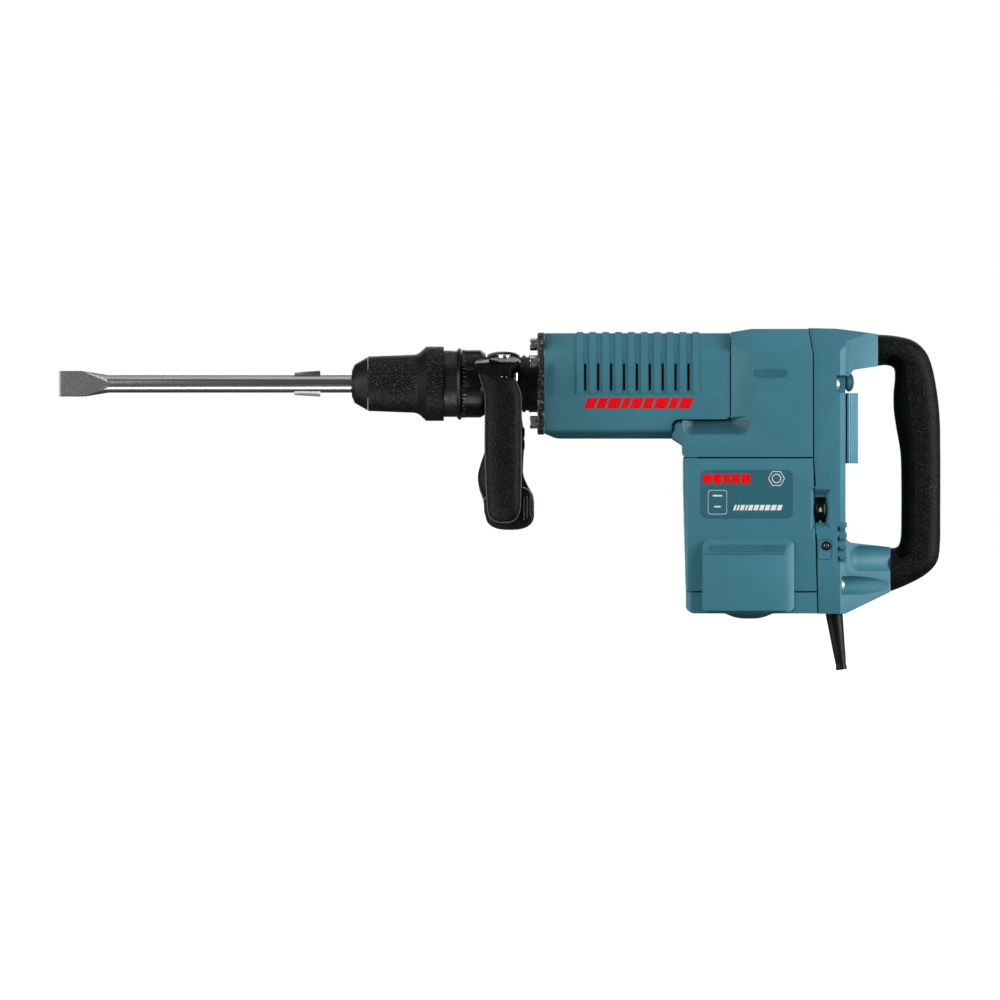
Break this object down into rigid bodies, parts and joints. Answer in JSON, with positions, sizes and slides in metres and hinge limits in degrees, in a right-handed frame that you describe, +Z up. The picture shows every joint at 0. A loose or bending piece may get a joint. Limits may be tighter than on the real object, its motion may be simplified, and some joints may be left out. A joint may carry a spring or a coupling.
{
  "type": "electric demolition hammer",
  "caption": "Electric demolition hammer with a flat chisel in a locking tool holder, a D-shaped rear handle and a swivelling front handle.",
  "frame": {"origin": "middle of the chisel's cutting edge, on the tool axis", "axes": "+X back along the tool axis to the rear handle, +Z up with the motor hanging below, +Y to the operator's right when the tool points forward"},
  "size_m": [0.8835, 0.158, 0.343],
  "materials": {
    "teal_housing": "glass-filled moulding with a fine grain",
    "teal_cover": "fine-textured moulded plastic",
    "black_grip": "soft-touch textured grip",
    "black_plastic": "moulded plastic",
    "black_casting": "blackened casting",
    "flange_casting": "grey machined plate",
    "dark_casting": "cast, stained dark inside the vents",
    "holder_black": "speckled moulded sleeve",
    "nose_rubber": "smooth rubber",
    "tool_steel": "ground and forged tool steel",
    "dark_steel": "hardened steel",
    "cast_aluminium": "as cast, machined faces",
    "plated_steel": "zinc plated",
    "rocker_teal": "ribbed moulded plastic",
    "dial_black": "notched thumbwheel",
    "lamp_lens": "clear lens",
    "copper_winding": "varnished winding",
    "carbon": "carbon",
    "seal_black": "seal ring",
    "inner_plastic": "glass-filled plastic"
  },
  "bodies": {
    "machine": {"neck_housing": "black_casting", "front_flange": "flange_casting", "flange_screws": "plated_steel", "damper_ring": "seal_black", "hammer_tube": "dark_steel", "crank_bearing_upper": "plated_steel", "crank_bearing_lower": "plated_steel", "gear_case": "dark_casting", "gear_case_cover": "cast_aluminium", "gear_cover_screws": "plated_steel", "stator": "dark_steel", "carbon_brushes": "carbon", "brush_holders": "plated_steel", "brush_springs": "plated_steel", "motor_bearing_upper": "plated_steel", "motor_bearing_lower": "plated_steel", "barrel_housing": "teal_housing", "crank_housing": "teal_housing", "motor_housing": "teal_cover", "bottom_cap": "teal_cover", "brush_cover_left": "teal_cover", "brush_cover_right": "teal_cover", "rear_housing": "teal_cover", "housing_screws": "plated_steel", "rear_handle": "black_grip", "switch_block": "inner_plastic", "speed_module": "inner_plastic", "service_lamp": "lamp_lens", "strain_relief": "black_grip", "cord_clamp": "inner_plastic"},
    "tool_holder": {"tool_spindle": "dark_steel", "dust_cap": "nose_rubber", "lock_spring": "plated_steel"},
    "angle_ring": {"angle_ring": "holder_black"},
    "chisel": {"flat_chisel": "tool_steel"},
    "locking_sleeve": {"locking_sleeve": "holder_black"},
    "roller_upper": {"locking_roller_upper": "dark_steel"},
    "roller_lower": {"locking_roller_lower": "dark_steel"},
    "impact_bolt": {"impact_bolt": "dark_steel"},
    "striker": {"striker": "dark_steel", "striker_ring": "seal_black"},
    "piston": {"piston": "cast_aluminium", "piston_ring": "seal_black", "wrist_pin": "dark_steel"},
    "connecting_rod": {"connecting_rod": "cast_aluminium"},
    "crank": {"crank_gear": "dark_steel"},
    "armature": {"armature": "copper_winding", "cooling_fan": "inner_plastic"},
    "front_handle": {"front_handle_frame": "black_plastic", "front_handle_grip": "black_grip"},
    "front_handle_clamp": {"front_handle_nut": "plated_steel", "front_handle_bolt": "plated_steel"},
    "rocker": {"rocker_switch": "rocker_teal"},
    "dial": {"speed_dial": "dial_black"}
  },
  "joints": [
    {"name": "tool_turn", "type": "hinge", "parent": "machine", "child": "tool_holder", "pos_m": [0.35, 0, 0], "axis": [1, 0, 0], "continuous": true},
    {"name": "angle_ring_slide", "type": "slide", "parent": "tool_holder", "child": "angle_ring", "axis": [-1, 0, 0], "range_m": [0, 0.004], "stiffness_N_per_m": 1500, "springref_m": -0.004},
    {"name": "chisel_slide", "type": "slide", "parent": "tool_holder", "child": "chisel", "axis": [-1, 0, 0], "range_m": [0, 0.03]},
    {"name": "sleeve_slide", "type": "slide", "parent": "tool_holder", "child": "locking_sleeve", "axis": [1, 0, 0], "range_m": [0, 0.008], "stiffness_N_per_m": 1500, "springref_m": -0.006, "deforming": ["lock_spring"]},
    {"name": "roller_upper_lift", "type": "slide", "parent": "tool_holder", "child": "roller_upper", "axis": [0, 0, 1], "range_m": [0, 0.0026]},
    {"name": "roller_lower_lift", "type": "slide", "parent": "tool_holder", "child": "roller_lower", "axis": [0, 0, -1], "range_m": [0, 0.0026]},
    {"name": "impact_bolt_slide", "type": "slide", "parent": "machine", "child": "impact_bolt", "axis": [-1, 0, 0], "range_m": [0, 0.005]},
    {"name": "striker_slide", "type": "slide", "parent": "machine", "child": "striker", "axis": [-1, 0, 0], "range_m": [0, 0.02]},
    {"name": "piston_slide", "type": "slide", "parent": "machine", "child": "piston", "axis": [1, 0, 0], "range_m": [0, 0.034]},
    {"name": "connecting_rod_swing", "type": "hinge", "parent": "piston", "child": "connecting_rod", "pos_m": [0.57, 0, 0], "axis": [0, 0, 1], "range_deg": [-16, 16]},
    {"name": "armature_spin", "type": "hinge", "parent": "machine", "child": "armature", "pos_m": [0.6914, 0, -0.13], "axis": [0, 0, 1], "continuous": true},
    {"name": "crank_spin", "type": "hinge", "parent": "machine", "child": "crank", "pos_m": [0.6473, 0, -0.04], "axis": [0, 0, 1], "continuous": true},
    {"name": "front_handle_swivel", "type": "hinge", "parent": "machine", "child": "front_handle", "pos_m": [0.445, 0, 0], "axis": [1, 0, 0], "continuous": true},
    {"name": "front_handle_nut_turn", "type": "hinge", "parent": "front_handle", "child": "front_handle_clamp", "pos_m": [0.446, -0.052, 0.01], "axis": [0, 0, 1], "continuous": true},
    {"name": "rocker_tip", "type": "hinge", "parent": "machine", "child": "rocker", "pos_m": [0.7802, 0, -0.045], "axis": [0, 0, 1], "range_deg": [-10, 0]},
    {"name": "speed_dial_turn", "type": "hinge", "parent": "machine", "child": "dial", "pos_m": [0.7625, -0.0362, -0.1263], "axis": [1, 0, 0], "range_deg": [-225, 45]}
  ],
  "couplings": [
    {"joint": "crank_spin", "follows": "armature_spin", "ratio": -0.16667},
    {"joint": "roller_upper_lift", "follows": "sleeve_slide", "ratio": 0.325},
    {"joint": "roller_lower_lift", "follows": "sleeve_slide", "ratio": 0.325}
  ]
}
